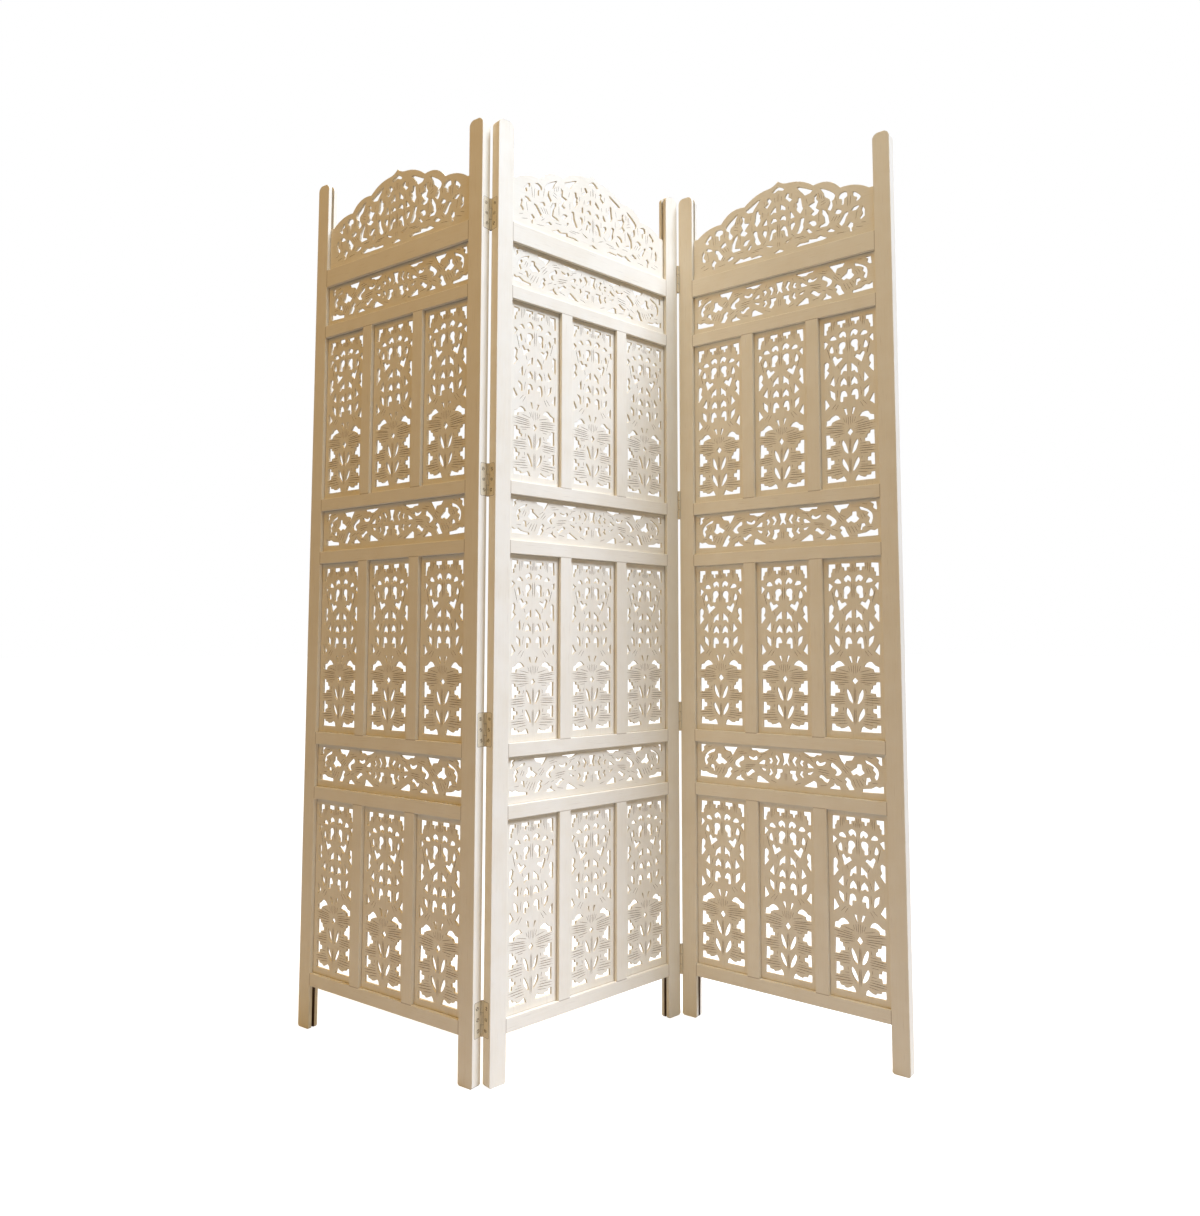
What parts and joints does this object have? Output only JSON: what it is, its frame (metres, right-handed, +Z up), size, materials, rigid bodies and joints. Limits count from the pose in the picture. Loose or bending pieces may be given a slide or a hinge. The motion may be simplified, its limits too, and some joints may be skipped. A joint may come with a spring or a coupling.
{
  "type": "folding screen",
  "caption": "Folding room divider of slim painted timber leaves with carved, pierced jali panels and scalloped crests, joined by butt hinges so that it stands in a zigzag.",
  "frame": {"origin": "on the floor, at the middle of the screen's overall footprint as it stands at rest", "axes": "+Z up, +X along the middle leaf to the right, -Y the side that the middle leaf's carved face looks to"},
  "size_m": [0.7568, 1.0032, 1.83],
  "materials": {
    "painted_frame": "brushed cream chalk paint on planed hardwood, satin to matt",
    "carved_panels": "brushed cream chalk paint on hand-carved hardwood, matt",
    "hinge_plates": "pressed steel painted over with the frame",
    "hinge_pins": "dull steel wire"
  },
  "bodies": {
    "middle_leaf": {"middle_leaf_left_stile": "painted_frame", "middle_leaf_right_stile": "painted_frame", "middle_leaf_muntins": "painted_frame", "middle_leaf_bottom_rail": "painted_frame", "middle_leaf_lower_panels": "carved_panels", "middle_leaf_lower_band_sill": "painted_frame", "middle_leaf_lower_band": "carved_panels", "middle_leaf_lower_band_head": "painted_frame", "middle_leaf_centre_panels": "carved_panels", "middle_leaf_centre_band_sill": "painted_frame", "middle_leaf_centre_band": "carved_panels", "middle_leaf_centre_band_head": "painted_frame", "middle_leaf_upper_panels": "carved_panels", "middle_leaf_upper_band_sill": "painted_frame", "middle_leaf_upper_band": "carved_panels", "middle_leaf_top_rail": "painted_frame", "middle_leaf_crest": "carved_panels", "left_hinge_fixed_plates": "hinge_plates", "left_hinge_pins": "hinge_pins", "right_hinge_fixed_plates": "hinge_plates", "right_hinge_pins": "hinge_pins"},
    "left_leaf": {"left_leaf_left_stile": "painted_frame", "left_leaf_right_stile": "painted_frame", "left_leaf_muntins": "painted_frame", "left_leaf_bottom_rail": "painted_frame", "left_leaf_lower_panels": "carved_panels", "left_leaf_lower_band_sill": "painted_frame", "left_leaf_lower_band": "carved_panels", "left_leaf_lower_band_head": "painted_frame", "left_leaf_centre_panels": "carved_panels", "left_leaf_centre_band_sill": "painted_frame", "left_leaf_centre_band": "carved_panels", "left_leaf_centre_band_head": "painted_frame", "left_leaf_upper_panels": "carved_panels", "left_leaf_upper_band_sill": "painted_frame", "left_leaf_upper_band": "carved_panels", "left_leaf_top_rail": "painted_frame", "left_leaf_crest": "carved_panels", "left_hinge_swung_plates": "hinge_plates"},
    "right_leaf": {"right_leaf_left_stile": "painted_frame", "right_leaf_right_stile": "painted_frame", "right_leaf_muntins": "painted_frame", "right_leaf_bottom_rail": "painted_frame", "right_leaf_lower_panels": "carved_panels", "right_leaf_lower_band_sill": "painted_frame", "right_leaf_lower_band": "carved_panels", "right_leaf_lower_band_head": "painted_frame", "right_leaf_centre_panels": "carved_panels", "right_leaf_centre_band_sill": "painted_frame", "right_leaf_centre_band": "carved_panels", "right_leaf_centre_band_head": "painted_frame", "right_leaf_upper_panels": "carved_panels", "right_leaf_upper_band_sill": "painted_frame", "right_leaf_upper_band": "carved_panels", "right_leaf_top_rail": "painted_frame", "right_leaf_crest": "carved_panels", "right_hinge_swung_plates": "hinge_plates"}
  },
  "joints": [
    {"name": "left_fold", "type": "hinge", "parent": "middle_leaf", "child": "left_leaf", "pos_m": [-0.24236, 0.01513, 0.88], "axis": [0, 0, 1], "range_deg": [-103, 77]},
    {"name": "right_fold", "type": "hinge", "parent": "middle_leaf", "child": "right_leaf", "pos_m": [0.25924, -0.01142, 0.88], "axis": [0, 0, 1], "range_deg": [-101, 79]}
  ]
}
